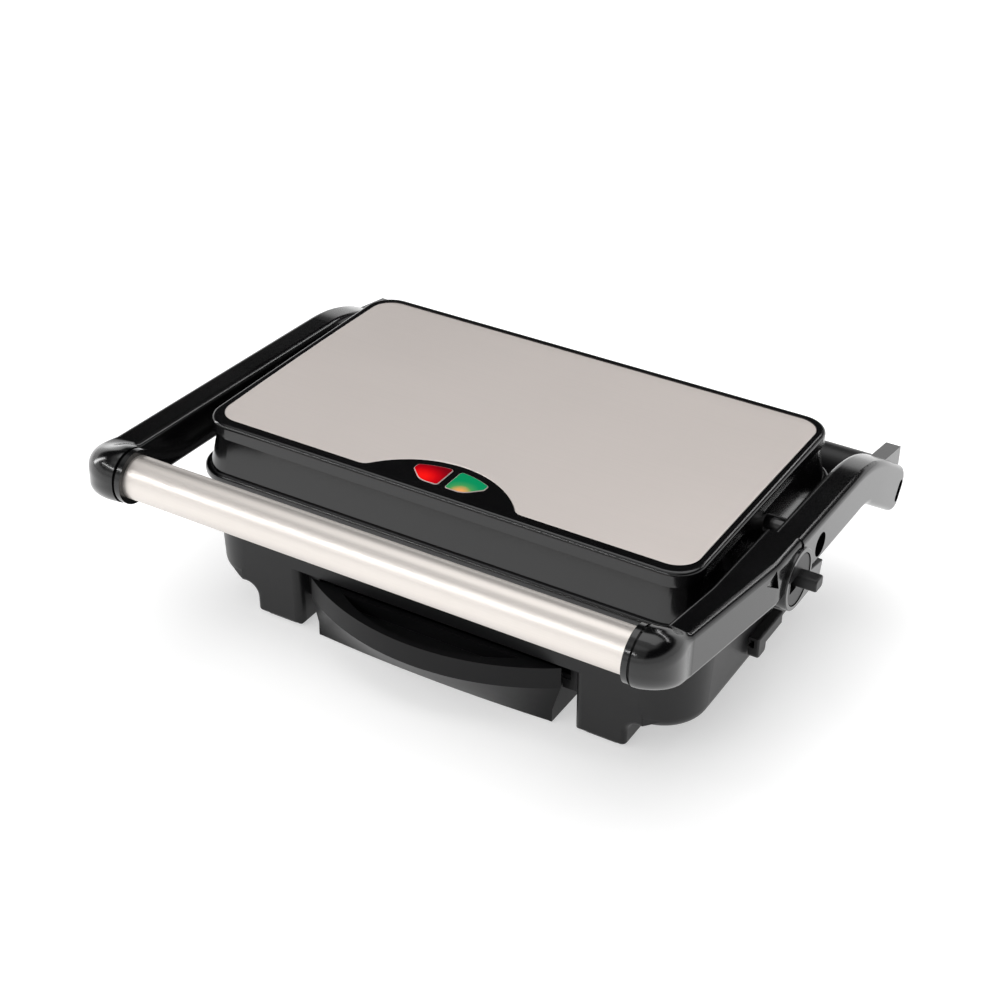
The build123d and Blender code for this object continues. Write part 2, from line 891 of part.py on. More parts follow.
with BuildPart() as drip_tray:
    with Locations((0, lip_y, tray_clear)):
        Box(
            2 * tray_half,
            tray_back - lip_y,
            tray_top - tray_clear,
            align=(Align.CENTER, Align.MIN, Align.MIN),
        )
    with Locations((0, lip_y + rail_setback, flange_z)):
        Box(
            2 * flange_half,
            tray_back - lip_y - rail_setback,
            tray_flange,
            align=(Align.CENTER, Align.MIN, Align.MIN),
        )
    # Lip: an upright band above a face that slopes back to the foot
    with BuildSketch(level(band_z)):
        lip_shape(lip_half, tray_bulge)
    extrude(amount=tray_band)
    with BuildSketch(level(band_z)):
        lip_shape(lip_half, tray_bulge)
    with BuildSketch(level(tray_clear)):
        lip_shape(lip_half - tray_foot_inset, tray_foot_bulge)
    loft(ruled=True)
    # Inside of the pan
    with Locations((0, lip_y + tray_wall, tray_clear + tray_wall)):
        Box(
            2 * (tray_half - tray_wall),
            tray_back - lip_y - 2 * tray_wall,
            tray_lip_height,
            align=(Align.CENTER, Align.MIN, Align.MIN),
            mode=Mode.SUBTRACT,
        )
    # Finger hollow in the top of the lip
    with BuildSketch(level(tray_lip_height)):
        with BuildLine():
            ThreePointArc(
                (-grip_half, lip_y - tray_grip_wall),
                (0, lip_y - tray_bulge + tray_grip_wall),
                (grip_half, lip_y - tray_grip_wall),
            )
            Line((grip_half, lip_y - tray_grip_wall), (-grip_half, lip_y - tray_grip_wall))
        make_face()
    extrude(amount=-tray_grip_depth, mode=Mode.SUBTRACT)
keep(drip_tray, "drip_tray")

# Hinge pins, in the barrels and in blind bores of the arms
hinge_bore_end = arm_out - hinge_pin_cover
with BuildPart() as hinge_pins:
    for i in (-1, 1):
        with BuildSketch(side_plane(i * (barrel_out - barrel_length))):
            with Locations((hinge_y, hinge_z)):
                Circle(hinge_pin_radius)
        extrude(amount=i * (hinge_bore_end - pin_fit - barrel_out + barrel_length))
keep(hinge_pins, "hinge_pins")

# Outline of an arm from the side: a long beam that bends down to the hinge
finger_lean = radians(finger_angle)
finger_along = (cos(finger_lean), -sin(finger_lean))
finger_across = (sin(finger_lean), cos(finger_lean))
slot_turn = degrees(pi / 2 - finger_lean)


def finger_point(along, across):
    """Point of the arm's end, from the hinge axis along the end and square to it."""
    return (
        hinge_y + along * finger_along[0] + across * finger_across[0],
        hinge_z + along * finger_along[1] + across * finger_across[1],
    )


front_top = (cap_seam_y, arm_front_top)
front_bottom = (cap_seam_y, arm_front_bottom)
tip_top = finger_point(finger_end, finger_above)
tip_bottom = finger_point(finger_end, -finger_below)
bend_top = meet(front_top, -arm_top_fall, tip_top, -finger_angle)
bend_bottom = meet(front_bottom, -arm_bottom_fall, tip_bottom, -finger_angle)


def arm_outline():
    """Side view of a whole arm, drawn in Y and Z."""
    Polygon(front_top, bend_top, tip_top, tip_bottom, bend_bottom, front_bottom, align=None)


def round_outline(sketch):
    """Round the bends and the tip of a whole arm's outline."""
    for point, radius in (
        (bend_top, arm_top_bend),
        (tip_top, finger_top_round),
        (tip_bottom, finger_bottom_round),
        (bend_bottom, arm_bottom_bend),
    ):
        fillet(sketch.vertices().sort_by_distance(Vector(*point, 0))[0], radius)


lug_corner = (hinge_y + lug_back, hinge_z + lug_height)
lug_root = meet(lug_corner, -lug_fall, finger_point(0, finger_above), -finger_angle)


def lug_shape():
    """Stop lug that squares off the top of an arm's end."""
    Polygon(
        (lug_root[0] - lug_front, lug_root[1] + lug_front * tan(radians(lug_fall))),
        lug_corner,
        (lug_corner[0], hinge_z),
        (hinge_y - lug_front, hinge_z),
        align=None,
    )


def bore(x, y, z, radius, length):
    """Round hole along X, from x towards x + length."""
    with BuildSketch(side_plane(x)) as hole:
        with Locations((y, z)):
            Circle(radius)
    extrude(hole.sketch, amount=length, mode=Mode.SUBTRACT)


def tenon(x):
    """Tongue at the front of an arm that goes into the handle's cap."""
    mid_z = (arm_front_top + arm_front_bottom) / 2
    with BuildSketch(front_plane(cap_seam_y)) as tongue:
        with Locations((x, mid_z)):
            Rectangle(tenon_width, tenon_height)
    extrude(tongue.sketch, amount=tenon_length)


with BuildPart() as plain_arm:
    with BuildSketch(side_plane(arm_in)) as arm_sketch:
        arm_outline()
        round_outline(arm_sketch)
    extrude(amount=arm_width)
    long_edges = plain_arm.edges().filter_by(lambda edge: abs(edge.center().Y - cap_seam_y) > seam_gap)
    fillet(long_edges.group_by(Axis.X)[-1] + long_edges.group_by(Axis.X)[0], arm_round)
    with BuildSketch(side_plane(arm_out - lug_inset)):
        lug_shape()
    extrude(amount=-lug_width)
    # Slot in the outer side of the end
    with BuildSketch(side_plane(arm_out)):
        with Locations(Location((*finger_point(slot_along, slot_across), 0), (0, 0, slot_turn))):
            SlotOverall(slot_length, slot_width)
    extrude(amount=-slot_depth, mode=Mode.SUBTRACT)
    tenon(arm_mid)
    bore(arm_in, hinge_y, hinge_z, hinge_pin_radius + pin_fit, hinge_bore_end - arm_in)
    bore(arm_in, pivot_y, pivot_z, bush_radius + pin_fit, arm_width)

with BuildPart() as left_arm:
    mirror(plain_arm.part, about=Plane.YZ)
keep(left_arm, "left_arm")

# Right arm in two pieces, with a round head at the joint
dowel_back = head_y - dowel_setback
dowel_levels = (head_z + dowel_rise, head_z + dowel_drop)

with BuildPart() as arm_dowels:
    for z in dowel_levels:
        with BuildSketch(front_plane(dowel_back)):
            with Locations((arm_mid, z)):
                Circle(dowel_radius)
        extrude(amount=dowel_length)
keep(arm_dowels, "arm_dowels")


def dowel_holes():
    for z in dowel_levels:
        with BuildSketch(front_plane(dowel_back)) as hole:
            with Locations((arm_mid, z)):
                Circle(dowel_radius + pin_fit)
        extrude(hole.sketch, amount=dowel_length, mode=Mode.SUBTRACT)


# Front piece: wider than the rear one at the joint, and leaning in towards the handle
front_in = arm_in - front_step
front_out = arm_out - front_arm_inset
front_end_in = front_in - front_lean_in
front_end_out = front_out - front_lean_out
front_back = seam_y - seam_gap
bend_in = (front_in, seam_y - front_bend_in)
bend_out = (front_out, seam_y - front_bend_out)
with BuildPart() as right_arm_front:
    with BuildSketch(side_plane(front_end_in)):
        arm_outline()
    extrude(amount=front_out - front_end_in)
    with BuildSketch(level(0)) as lean_sketch:
        Polygon(
            (front_end_in, cap_seam_y),
            (front_end_out, cap_seam_y),
            bend_out,
            (front_out, front_back),
            (front_in, front_back),
            bend_in,
            align=None,
        )
        for point in (bend_in, bend_out):
            fillet(lean_sketch.vertices().sort_by_distance(Vector(*point, 0))[0], front_bend_round)
    extrude(amount=2 * arm_front_top, mode=Mode.INTERSECT)
    level_edges = right_arm_front.edges() - right_arm_front.edges().filter_by(Axis.Z)
    foremost = cap_seam_y + seam_gap
    rearmost = front_back - seam_gap
    long_edges = level_edges.filter_by(lambda edge: foremost < edge.center().Y < rearmost)
    fillet(long_edges, arm_round)
    bore(front_end_in, head_y, head_z, head_radius + seam_gap, front_out - front_end_in)
    # Pointer beside the knob
    with BuildSketch(side_plane(front_out)):
        Polygon(
            (seam_y - mark_front, head_z + mark_middle),
            (seam_y - mark_back, head_z + mark_bottom),
            (seam_y - mark_tip, head_z + mark_top),
            align=None,
        )
    extrude(amount=-mark_depth, mode=Mode.SUBTRACT)
    tenon((front_end_in + front_end_out) / 2)
    dowel_holes()
keep(right_arm_front, "right_arm_front")

head_face = arm_out + head_out
recess_floor = head_face - knob_recess
screw_floor = arm_in + knob_screw_recess
with BuildPart() as right_arm_rear:
    add(plain_arm.part)
    split(bisect_by=front_plane(seam_y), keep=Keep.BOTTOM)
    with BuildSketch(side_plane(arm_in)):
        with Locations((head_y, head_z)):
            Circle(head_radius)
        Polygon(
            (head_y, head_z - head_radius),
            (lobe_back, head_z - head_radius),
            (lobe_back + lobe_lean, head_z - head_radius + lobe_rise),
            (head_y, head_z),
            align=None,
        )
    extrude(amount=head_face - arm_in)
    fillet(right_arm_rear.edges().group_by(Axis.X)[-1], head_edge)
    # Recess for the knob, the bore of its shaft and the recess of its screw
    bore(recess_floor, head_y, head_z, knob_radius + knob_fit, knob_recess)
    bore(arm_in, head_y, head_z, knob_shaft + pin_fit, recess_floor - arm_in)
    bore(arm_in, head_y, head_z, knob_washer_radius + knob_fit, knob_screw_recess)
    dowel_holes()
keep(right_arm_rear, "right_arm_rear")

with BuildPart() as pivot_bushes:
    for i in (-1, 1):
        with BuildSketch(side_plane(i * arm_in)):
            with Locations((pivot_y, pivot_z)):
                Circle(bush_radius)
                Circle(pivot_pin_radius + pin_fit, mode=Mode.SUBTRACT)
        extrude(amount=i * bush_length)
keep(pivot_bushes, "pivot_bushes")

# Knob with a grip wing, its screw and its spring washer
shaft_end = screw_floor + pin_fit
with BuildPart() as turn_knob:
    with BuildSketch(side_plane(recess_floor + pin_fit)):
        with Locations((head_y, head_z)):
            Circle(knob_radius)
    extrude(amount=knob_thickness)
    with BuildSketch(side_plane(recess_floor + pin_fit + knob_thickness)):
        with Locations((head_y + (knob_wing_back - knob_wing_front) / 2, head_z)):
            RectangleRounded(knob_wing_back + knob_wing_front, knob_wing_width, knob_wing_round)
    extrude(amount=knob_wing_height)
    fillet(turn_knob.edges().group_by(Axis.X)[-1], knob_edge)
    # Hollow in front of the wing
    with BuildSketch(side_plane(recess_floor + pin_fit + knob_thickness)):
        with Locations((head_y - knob_wing_front - knob_pocket_length / 2, head_z)):
            Rectangle(knob_pocket_length, knob_wing_width)
    extrude(amount=-knob_pocket, mode=Mode.SUBTRACT)
    with BuildSketch(side_plane(shaft_end)):
        with Locations((head_y, head_z)):
            Circle(knob_shaft)
    extrude(amount=recess_floor + pin_fit - shaft_end)
    bore(shaft_end, head_y, head_z, small_shank + screw_fit, thread_depth)
keep(turn_knob, "turn_knob")

with BuildPart() as knob_washer:
    with BuildSketch(side_plane(screw_floor - pin_fit)):
        with Locations((head_y, head_z)):
            Circle(knob_washer_radius)
            Circle(small_shank + screw_fit, mode=Mode.SUBTRACT)
    extrude(amount=-knob_washer_thickness)
keep(knob_washer, "knob_washer")

knob_screw_seat = screw_floor - pin_fit - knob_washer_thickness
with BuildPart() as knob_screw:
    with BuildSketch(side_plane(knob_screw_seat)):
        with Locations((head_y, head_z)):
            Circle(screw_head)
    extrude(amount=-screw_head_height)
    with BuildSketch(side_plane(knob_screw_seat)):
        with Locations((head_y, head_z)):
            Circle(small_shank)
    extrude(amount=thread_depth)
keep(knob_screw, "knob_screw")

# Handle: tube, collars, tie rod and the rounded caps at the arms
spigot_radius = tube_radius - tube_wall - spigot_fit

with BuildPart() as handle_tube:
    with BuildSketch(side_plane(-cap_in)):
        with Locations((handle_y, tube_z)):
            Circle(tube_radius)
            Circle(tube_radius - tube_wall, mode=Mode.SUBTRACT)
    extrude(amount=2 * cap_in)
keep(handle_tube, "handle_tube")

with BuildPart() as handle_collars:
    for i in (-1, 1):
        for start, length, radius in (
            (tube_length / 2, collar_length, collar_radius),
            (tube_length / 2 + collar_length, collar_groove, collar_groove_radius),
        ):
            with BuildSketch(side_plane(i * start)):
                with Locations((handle_y, tube_z)):
                    Circle(radius)
                    Circle(tube_radius + pin_fit, mode=Mode.SUBTRACT)
            extrude(amount=i * length)
keep(handle_collars, "handle_collars")

rod_end = cap_in + rod_depth
with BuildPart() as handle_tie_rod:
    with BuildSketch(side_plane(-rod_end)):
        with Locations((handle_y, tube_z)):
            Circle(rod_radius)
    extrude(amount=2 * rod_end)
keep(handle_tie_rod, "handle_tie_rod")

cap_turns = [pi / 2 * k / cap_sections for k in range(cap_sections + 1)]


def blend(start, end, turn):
    """Value that goes smoothly from start to end over a quarter turn."""
    return start + (end - start) * sin(turn) ** 2


def cap_section(turn, arm_inner, arm_outer, bulge):
    """Section of a cap: round at the tube, the arm's own section after a quarter turn."""
    inner = blend(cap_back - collar_radius, arm_inner - cap_in, turn)
    outer = blend(cap_back + collar_radius, arm_outer - cap_in, turn) + bulge * sin(2 * turn)
    low = blend(tube_z - collar_radius, arm_front_bottom, turn)
    high = blend(tube_z + collar_radius, arm_front_top, turn)
    corner = blend(collar_radius - cap_flat, arm_round, turn)
    across = (sin(turn), -cos(turn), 0)
    with BuildSketch(Plane((cap_in, cap_seam_y, 0), across, (-cos(turn), -sin(turn), 0))) as section:
        with Locations(((inner + outer) / 2, (low + high) / 2)):
            RectangleRounded(outer - inner, high - low, corner)
    return section.sketch


def handle_cap(arm_inner, arm_outer, bulge):
    """Cap on the right, for an arm whose front end lies between two values of X."""
    with BuildPart() as cap:
        loft([cap_section(turn, arm_inner, arm_outer, bulge) for turn in cap_turns])
        # Spigot inside the tube, thread of the tie rod and socket of the arm's tenon
        with BuildSketch(side_plane(cap_in)) as spigot:
            with Locations((handle_y, tube_z)):
                Circle(spigot_radius)
        extrude(spigot.sketch, amount=-spigot_length)
        bore(cap_in - spigot_length, handle_y, tube_z, rod_radius + pin_fit, spigot_length + rod_depth)
        with BuildSketch(front_plane(cap_seam_y)) as socket:
            with Locations(((arm_inner + arm_outer) / 2, (arm_front_top + arm_front_bottom) / 2)):
                Rectangle(tenon_width + 2 * pin_fit, tenon_height + 2 * pin_fit)
        extrude(socket.sketch, amount=tenon_length + pin_fit, mode=Mode.SUBTRACT)
    return cap


right_handle_cap = handle_cap(front_end_in, front_end_out, right_cap_bulge)
keep(right_handle_cap, "right_handle_cap")

mirrored_cap = handle_cap(arm_in, arm_out, left_cap_bulge)
with BuildPart() as left_handle_cap:
    mirror(mirrored_cap.part, about=Plane.YZ)
keep(left_handle_cap, "left_handle_cap")

# Lid frame: the lower rim with a rounded flange, and the ears that hold the plate
with BuildPart() as lid_frame:
    with BuildSketch(level(lid_z)):
        plan_shape(lid_width + 2 * flange_out, lid_depth + 2 * flange_out, lid_corner + flange_out)
    extrude(amount=flange_height)
    fillet(lid_frame.edges().group_by(Axis.Z)[0] + lid_frame.edges().group_by(Axis.Z)[-1], flange_round)
    with BuildSketch(level(lid_z)):
        plan_shape(plate_width + 2 * plate_fit, plate_depth + 2 * plate_fit, plate_corner + plate_fit)
    extrude(amount=flange_height, mode=Mode.SUBTRACT)
    for x, j in ear_places:
        with Locations((x, plan_y + j * (opening_half + ear_foot / 2), frame_top_z)):
            Box(ear_width, ear_foot, upper_back_z + ear_thickness - frame_top_z, align=upward)
        with Locations((x, plan_y + j * (opening_half - ear_reach / 2), upper_back_z)):
            Box(ear_width, ear_reach, ear_thickness, align=upward)
            Cylinder(screw_shank + screw_fit, ear_thickness, align=upward, mode=Mode.SUBTRACT)
    for x, y in lid_screw_places:
        with Locations((x, y, lid_z)):
            Cylinder(screw_shank + screw_fit, flange_height, align=upward, mode=Mode.SUBTRACT)
            Cylinder(screw_head + screw_fit, screw_head_height, align=upward, mode=Mode.SUBTRACT)
    for i in (-1, 1):
        bore(i * boss_face, pivot_y, pivot_z, pivot_boss + seat_gap, -i * (boss_face - plate_width / 2))
keep(lid_frame, "lid_frame")

upper_plate_screws = upright_screws(
    ear_screw_places,
    upper_back_z + ear_thickness,
    -1,
    screw_shank,
    ear_thickness + plate_thickness - thread_floor - seat_gap,
    screw_head,
    screw_head_height,
)
keep(upper_plate_screws, "upper_plate_screws")

lid_screws = upright_screws(
    lid_screw_places,
    lid_z + screw_head_height,
    1,
    screw_shank,
    flange_height - screw_head_height + lid_thread - seat_gap,
    screw_head,
    screw_head_height,
)
keep(lid_screws, "lid_screws")

# Lid housing: a flaring skirt, a narrow neck and a lip around the panel
skirt_height = neck_z - frame_top_z
skirt_angle = degrees(atan((skirt_flare + neck_inset) / skirt_height))
skirt_width = lid_width + 2 * skirt_flare
skirt_depth = lid_depth + 2 * skirt_flare
skirt_corner = lid_corner + skirt_flare
panel_z = top_z - panel_sink
panel_mid = (panel_front + panel_back) / 2
lens_radius = arch_radius - lens_border
lens_foot = panel_front + lens_front
holder_y = lens_foot + holder_depth / 2
holder_z = ceiling_z - holder_drop
peg_places = [(i * (holder_width - holder_ear) / 2, holder_y) for i in (-1, 1)]


def panel_shape(sketch, grow):
    """Rounded panel with an arched bay at the front."""
    with Locations((0, panel_mid)):
        RectangleRounded(panel_width + 2 * grow, panel_depth + 2 * grow, panel_corner + grow)
    with Locations((0, arch_y)):
        Circle(arch_radius - grow, mode=Mode.SUBTRACT)
    bay_ends = sketch.vertices().filter_by(lambda end: abs(end.X) < arch_radius).group_by(Axis.Y)[0]
    fillet(bay_ends, arch_flare)


def lens_shape(sketch, grow):
    """Half of a rounded dome, on the right of the middle."""
    with Locations((0, arch_y)):
        Circle(lens_radius + grow)
    Polygon(
        (lens_gap / 2 - grow, lens_foot - grow),
        (lens_half_width - lens_heel, lens_foot - grow),
        (lens_half_width + grow, lens_foot + lens_slope - grow),
        (lens_half_width + grow, arch_y + lens_radius + lens_border),
        (lens_gap / 2 - grow, arch_y + lens_radius + lens_border),
        align=None,
        mode=Mode.INTERSECT,
    )
    heel = sketch.vertices().sort_by_distance(Vector(lens_half_width - lens_heel, lens_foot - grow, 0))
    fillet(heel[0], lens_heel_round)
    ends = [end for end in sketch.vertices() if end.X > lens_half_width + grow - lens_round]
    inner_ends = [end for end in sketch.vertices() if end.X < lens_gap / 2 - grow + lens_round]
    fillet(ends + inner_ends, lens_round)


with BuildPart() as lens_opening:
    with BuildSketch(level(ceiling_z)) as lens_sketch:
        lens_shape(lens_sketch, lens_fit)
    extrude(amount=lid_skin)

with BuildPart() as lid_hollow:
    with BuildSketch(level(frame_top_z)):
        plan_shape(skirt_width - 2 * lid_wall, skirt_depth - 2 * lid_wall, skirt_corner - lid_wall)
    extrude(amount=skirt_height, taper=skirt_angle)
    with BuildSketch(level(neck_z)):
        plan_shape(
            lid_width - 2 * (neck_inset + lid_wall),
            lid_depth - 2 * (neck_inset + lid_wall),
            lid_corner - neck_inset - lid_wall,
        )
    extrude(amount=ceiling_z - neck_z)
    for x, y in lid_screw_places:
        with Locations((x, y, frame_top_z)):
            Cylinder(lid_post_radius, ceiling_z - frame_top_z, align=upward, mode=Mode.SUBTRACT)
    for x, y in peg_places:
        with Locations((x, y, ceiling_z)):
            Cylinder(holder_ear / 2, holder_drop - holder_thickness, align=downward, mode=Mode.SUBTRACT)
            Cylinder(holder_peg_radius, holder_drop, align=downward, mode=Mode.SUBTRACT)

with BuildPart() as lid_housing:
    with BuildSketch(level(frame_top_z)):
        plan_shape(skirt_width, skirt_depth, skirt_corner)
    extrude(amount=skirt_height, taper=skirt_angle)
    with BuildSketch(level(neck_z)):
        plan_shape(lid_width - 2 * neck_inset, lid_depth - 2 * neck_inset, lid_corner - neck_inset)
    extrude(amount=neck_height)
    with BuildSketch(level(lip_z)):
        plan_shape(lid_width, lid_depth, lid_corner)
    extrude(amount=lip_height)
    fillet(lid_housing.edges().group_by(Axis.Z)[-1], lip_round)
    # Pivot bosses on the sides
    for i in (-1, 1):
        with BuildSketch(side_plane(i * boss_face)):
            with Locations((pivot_y, pivot_z)):
                Circle(pivot_boss)
        extrude(amount=-i * (boss_face - lid_width / 2 + lid_wall))
    add(lid_hollow.part, mode=Mode.SUBTRACT)
    for i in (-1, 1):
        bore(i * boss_face, pivot_y, pivot_z, pivot_pin_radius + pin_fit, -i * pivot_pin_seat)
    # Seat of the panel, openings of the lenses and threads of the screws
    with BuildSketch(level(panel_z)) as seat_sketch:
        panel_shape(seat_sketch, panel_fit)
    extrude(amount=lid_skin, mode=Mode.SUBTRACT)
    add(lens_opening.part, mode=Mode.SUBTRACT)
    mirror(lens_opening.part, about=Plane.YZ, mode=Mode.SUBTRACT)
    for x, y in lid_screw_places:
        with Locations((x, y, frame_top_z)):
            Cylinder(screw_shank + screw_fit, lid_thread, align=upward, mode=Mode.SUBTRACT)
keep(lid_housing, "lid_housing")

with BuildPart() as pivot_pins:
    for i in (-1, 1):
        with BuildSketch(side_plane(i * (boss_face - pivot_pin_seat))):
            with Locations((pivot_y, pivot_z)):
                Circle(pivot_pin_radius)
        extrude(amount=i * (pivot_pin_seat + pivot_gap + bush_length))
keep(pivot_pins, "pivot_pins")

crown_radius = ((panel_depth / 2) ** 2 + panel_crown**2) / (2 * panel_crown)
crown_z = panel_z + panel_thickness + panel_crown - crown_radius
with BuildPart() as top_panel:
    with BuildSketch(level(panel_z)) as panel_sketch:
        panel_shape(panel_sketch, 0)
    extrude(amount=panel_thickness + panel_crown)
    # Slight crown, from front to back
    with BuildSketch(side_plane(-panel_width)):
        with Locations((panel_mid, crown_z)):
            Circle(crown_radius)
    extrude(amount=2 * panel_width, mode=Mode.INTERSECT)
    fillet(top_panel.faces().sort_by(Axis.Z)[-1].edges(), panel_edge)
keep(top_panel, "top_panel")

# Indicator lenses, held from below by a flange, with the lamps under them
with BuildPart() as green_lens:
    with BuildSketch(level(ceiling_z)) as lens_sketch:
        lens_shape(lens_sketch, 0)
    extrude(amount=lid_skin + lens_proud)
    with BuildSketch(level(ceiling_z)) as lens_sketch:
        lens_shape(lens_sketch, lens_flange)
    extrude(amount=-lens_flange_thickness)
keep(green_lens, "green_lens")

with BuildPart() as red_lens:
    mirror(green_lens.part, about=Plane.YZ)
keep(red_lens, "red_lens")

with BuildPart() as lamp_holder:
    with BuildSketch(level(holder_z)):
        with Locations((0, holder_y)):
            RectangleRounded(holder_width, holder_depth, holder_ear / 2)
        for x, y in peg_places:
            with Locations((x, y)):
                Circle(holder_peg_radius + pin_fit, mode=Mode.SUBTRACT)
    extrude(amount=holder_thickness)
keep(lamp_holder, "lamp_holder")

lamp_z = holder_z + holder_thickness + pin_fit + lamp_radius
with BuildPart() as lamps:
    for i in (-1, 1):
        with Locations((i * lens_half_width / 2, holder_y, lamp_z)):
            Cylinder(lamp_radius, lamp_length, rotation=(0, 90, 0))
keep(lamps, "lamps")

# Storage latch, on the guide rail of the base's right wall
latch_front = latch_y - latch_length / 2
latch_back = latch_y + latch_length / 2
latch_middle = latch_top - latch_bar
latch_bottom = latch_middle - latch_finger
with BuildPart() as latch_slide:
    with BuildSketch(side_plane(latch_in)) as latch_outline:
        Polygon(
            (latch_front, latch_top),
            (latch_front, latch_bottom),
            (latch_front + latch_front_finger, latch_bottom),
            (latch_front + latch_front_finger, latch_middle),
            (latch_back, latch_middle),
            (latch_back, latch_top),
            align=None,
        )
        fillet(latch_outline.vertices().group_by(Axis.Y)[0], latch_round)
    extrude(amount=latch_thickness)
    fillet(latch_slide.edges().group_by(Axis.X)[-1], latch_edge)
    with Locations((latch_in, latch_y, latch_rail_z)):
        Box(
            latch_neck_length,
            latch_length,
            latch_neck + 2 * latch_fit,
            align=(Align.MIN, Align.CENTER, Align.CENTER),
            mode=Mode.SUBTRACT,
        )
    with Locations((latch_in + latch_neck_length - latch_fit, latch_y, latch_rail_z)):
        Box(
            latch_head_thickness + 2 * latch_fit,
            latch_length,
            latch_head + 2 * latch_fit,
            align=(Align.MIN, Align.CENTER, Align.CENTER),
            mode=Mode.SUBTRACT,
        )
keep(latch_slide, "latch_slide")
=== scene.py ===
"""Panini press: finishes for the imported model, rounded lens caps, studio light and camera."""

import json
import math

import bmesh
import bpy
from mathutils import Matrix, Vector


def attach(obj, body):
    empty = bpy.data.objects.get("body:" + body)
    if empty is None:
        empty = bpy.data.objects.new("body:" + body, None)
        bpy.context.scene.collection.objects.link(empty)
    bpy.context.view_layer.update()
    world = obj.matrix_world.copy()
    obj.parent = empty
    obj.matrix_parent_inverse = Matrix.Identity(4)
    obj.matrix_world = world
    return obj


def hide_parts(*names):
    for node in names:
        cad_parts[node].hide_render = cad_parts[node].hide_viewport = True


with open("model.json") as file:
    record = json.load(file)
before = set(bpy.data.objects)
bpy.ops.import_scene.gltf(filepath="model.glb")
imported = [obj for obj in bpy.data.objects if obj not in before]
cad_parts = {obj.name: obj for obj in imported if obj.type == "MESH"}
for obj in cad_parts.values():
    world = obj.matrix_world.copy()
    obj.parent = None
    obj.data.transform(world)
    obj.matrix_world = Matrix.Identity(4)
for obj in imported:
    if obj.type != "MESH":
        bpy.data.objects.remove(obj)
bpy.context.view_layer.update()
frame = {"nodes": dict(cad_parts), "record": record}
nodes = frame["nodes"]

MM = 0.001

# Surface detail: noise detail, and the heights that bumps stand for
CLOUD_DETAIL = 3.0
GRAIN_DETAIL = 2.0
GRAIN_HEIGHT = 0.1 * MM
BRUSH_HEIGHT = 0.05 * MM

# Grain of moulded and coated surfaces: noise scale and bump strength
SATIN_GRAIN = (1900.0, 0.05)
PLAIN_GRAIN = (1600.0, 0.1)

# Lens caps: the rounded rim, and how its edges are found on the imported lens
RIM_WIDTH = 0.35 * MM
RIM_SEGMENTS = 2
RIM_ZONE = 1.5 * MM
WELD = 0.001 * MM
FLAT_ANGLE = math.radians(1.0)
TOP_FACING = 0.8
SIDE_FACING = 0.4

# Floor: half its side, the paper's grey, and the glow that is weaker under the press, a painted
# shadow
FLOOR_HALF = 8.0
PAPER_GREY = 0.60
PRESS_HALF = (0.11, 0.07, 0.0)
PAINTED_SHADOW_REACH = 0.13
PAINTED_SHADOW_GLOW = 0.50
GLOW_OPEN = 0.80

# Room around the press, from the horizon to straight up: height and grey
ROOM = ((0.0, 1.0), (0.25, 1.0), (0.34, 0.012), (0.72, 0.012), (0.82, 0.55), (1.0, 0.75))

# Lamps: name, place and size in metres, power in watts
LAMPS = (
    ("overhead", (0.0, 0.47, 1.80), (2.4, 1.3), 12.6),
    ("front", (-0.1, -1.42, 1.16), (2.4, 1.8), 5.0),
    ("low_strip", (-0.72, -1.30, 0.98), (2.2, 0.06), 9.0),
    ("left", (-1.60, -0.25, 0.62), (0.22, 0.9), 6.0),
    ("back_strip", (0.55, 1.50, 1.30), (1.6, 0.14), 4.0),
)
LAMP_AIM = Vector((0.0, 0.0, 0.05))

# Camera, fitted to the photograph
AZIMUTH = math.radians(29.63)
ELEVATION = math.radians(31.96)
ROLL = math.radians(1.37)
TARGET = Vector((-1.13, -5.21, 63.39)) * MM
DISTANCE = 916.8
FOCAL_LENGTH = 71.73


